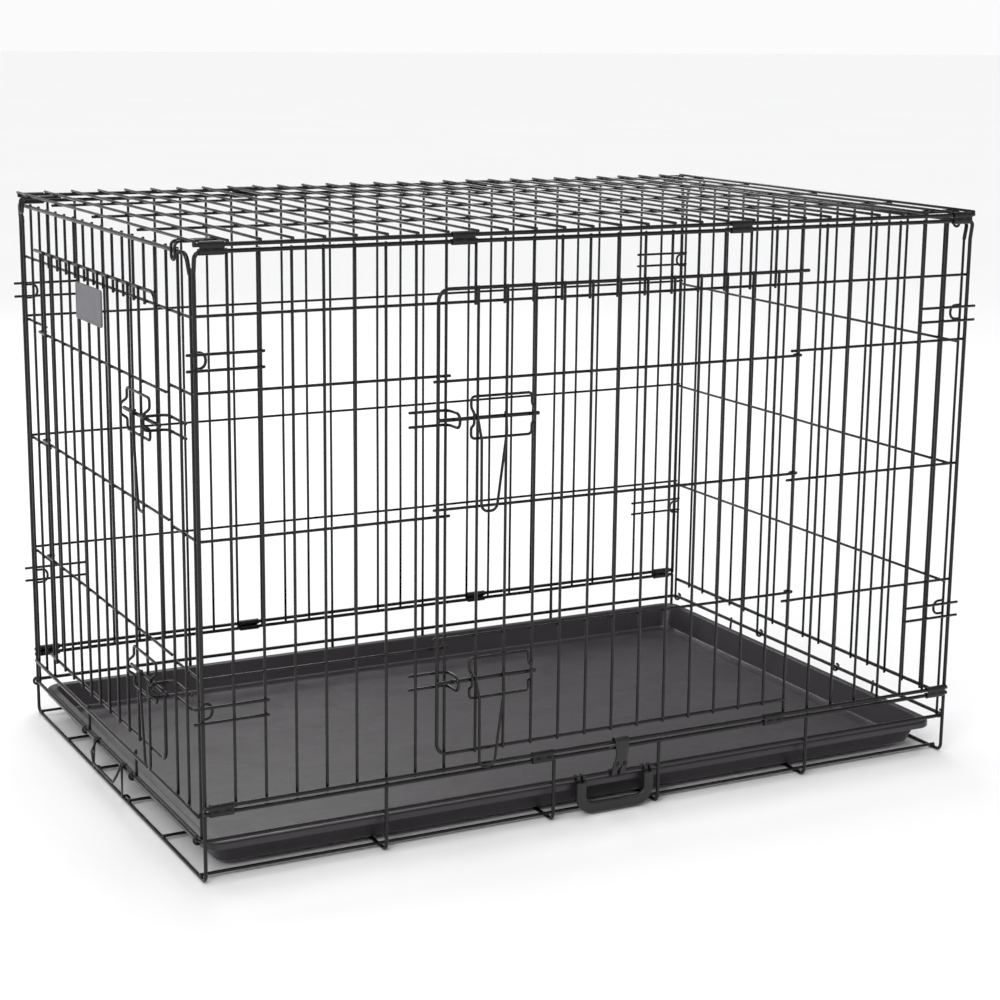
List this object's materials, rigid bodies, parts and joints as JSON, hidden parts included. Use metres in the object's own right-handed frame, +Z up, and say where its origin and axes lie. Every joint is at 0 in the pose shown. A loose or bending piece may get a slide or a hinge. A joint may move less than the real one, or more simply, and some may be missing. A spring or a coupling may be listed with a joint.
{
  "type": "wire dog crate",
  "caption": "Folding wire dog crate with a front door, an end door, slide bolts, a plastic floor tray, a tray stop and a carry handle.",
  "frame": {"origin": "middle of the crate's bounding box on the floor", "axes": "+X along the length, away from the end door; +Y from the front door to the rear; +Z up"},
  "size_m": [1.1058, 0.7418, 0.7412],
  "materials": {
    "coated_steel": "black semi-gloss coating",
    "coated_sleeve": "black semi-gloss coating",
    "tray_plastic": "dark grey moulded plastic, satin",
    "black_plastic": "matte moulded",
    "grey_plastic": "satin"
  },
  "bodies": {
    "root": {"base_frame": "coated_steel", "front_panel": "coated_steel", "rear_panel": "coated_steel", "top_panel": "coated_steel", "sleeve_top_front_1": "coated_sleeve", "sleeve_top_front_2": "coated_sleeve", "sleeve_top_front_3": "coated_sleeve", "sleeve_top_front_4": "coated_sleeve", "sleeve_top_rear_1": "coated_sleeve", "sleeve_top_rear_2": "coated_sleeve", "sleeve_top_rear_3": "coated_sleeve", "sleeve_top_rear_4": "coated_sleeve", "sleeve_low_front_1": "coated_sleeve", "sleeve_low_front_2": "coated_sleeve", "sleeve_low_front_3": "coated_sleeve", "sleeve_low_front_4": "coated_sleeve", "sleeve_low_rear_1": "coated_sleeve", "sleeve_low_rear_2": "coated_sleeve", "sleeve_low_rear_3": "coated_sleeve", "sleeve_low_rear_4": "coated_sleeve"},
    "left_end": {"left_end": "coated_steel"},
    "right_end": {"right_end": "coated_steel"},
    "front_door": {"front_door": "coated_steel"},
    "end_door": {"end_door": "coated_steel", "name_plate": "grey_plastic"},
    "front_bolt_upper": {"front_bolt_upper": "coated_steel"},
    "front_bolt_lower": {"front_bolt_lower": "coated_steel"},
    "end_bolt_upper": {"end_bolt_upper": "coated_steel"},
    "end_bolt_lower": {"end_bolt_lower": "coated_steel"},
    "tray": {"tray": "tray_plastic"},
    "tray_stop": {"tray_stop": "coated_steel"},
    "carry_handle": {"carry_handle": "black_plastic"},
    "strap_clip": {"strap_clip": "black_plastic"}
  },
  "joints": [
    {"name": "front_door_hinge", "type": "hinge", "parent": "root", "child": "front_door", "pos_m": [0.27489, -0.34111, -0.00004], "axis": [0, 0, 1], "range_deg": [0, 120]},
    {"name": "left_end_fold", "type": "hinge", "parent": "root", "child": "left_end", "pos_m": [-0.52761, 0.00889, 0.05096], "axis": [0, -1, 0], "range_deg": [-70, 0]},
    {"name": "right_end_fold", "type": "hinge", "parent": "root", "child": "right_end", "pos_m": [0.54539, 0.00889, 0.05096], "axis": [0, 1, 0], "range_deg": [-82, 0]},
    {"name": "end_door_hinge", "type": "hinge", "parent": "left_end", "child": "end_door", "pos_m": [-0.52311, 0.26733, -0.00004], "axis": [0, 0, -1], "range_deg": [0, 120]},
    {"name": "front_bolt_upper_slide", "type": "slide", "parent": "front_door", "child": "front_bolt_upper", "axis": [1, 0, 0], "range_m": [0, 0.028]},
    {"name": "front_bolt_lower_slide", "type": "slide", "parent": "front_door", "child": "front_bolt_lower", "axis": [1, 0, 0], "range_m": [0, 0.028]},
    {"name": "end_bolt_upper_slide", "type": "slide", "parent": "end_door", "child": "end_bolt_upper", "axis": [0, 1, 0], "range_m": [0, 0.028]},
    {"name": "end_bolt_lower_slide", "type": "slide", "parent": "end_door", "child": "end_bolt_lower", "axis": [0, 1, 0], "range_m": [0, 0.028]},
    {"name": "tray_slide", "type": "slide", "parent": "root", "child": "tray", "axis": [-1, 0, 0], "range_m": [0, 0.01]},
    {"name": "tray_stop_hinge", "type": "hinge", "parent": "root", "child": "tray_stop", "pos_m": [-0.52311, 0.00889, 0.00226], "axis": [0, -1, 0], "range_deg": [0, 55]},
    {"name": "carry_handle_swing", "type": "hinge", "parent": "root", "child": "carry_handle", "pos_m": [0.00889, -0.33691, 0.05096], "axis": [-1, 0, 0], "range_deg": [0, 100]},
    {"name": "strap_clip_swing", "type": "hinge", "parent": "root", "child": "strap_clip", "pos_m": [0.00889, -0.33691, 0.05096], "axis": [-1, 0, 0], "range_deg": [-90, 0]}
  ]
}
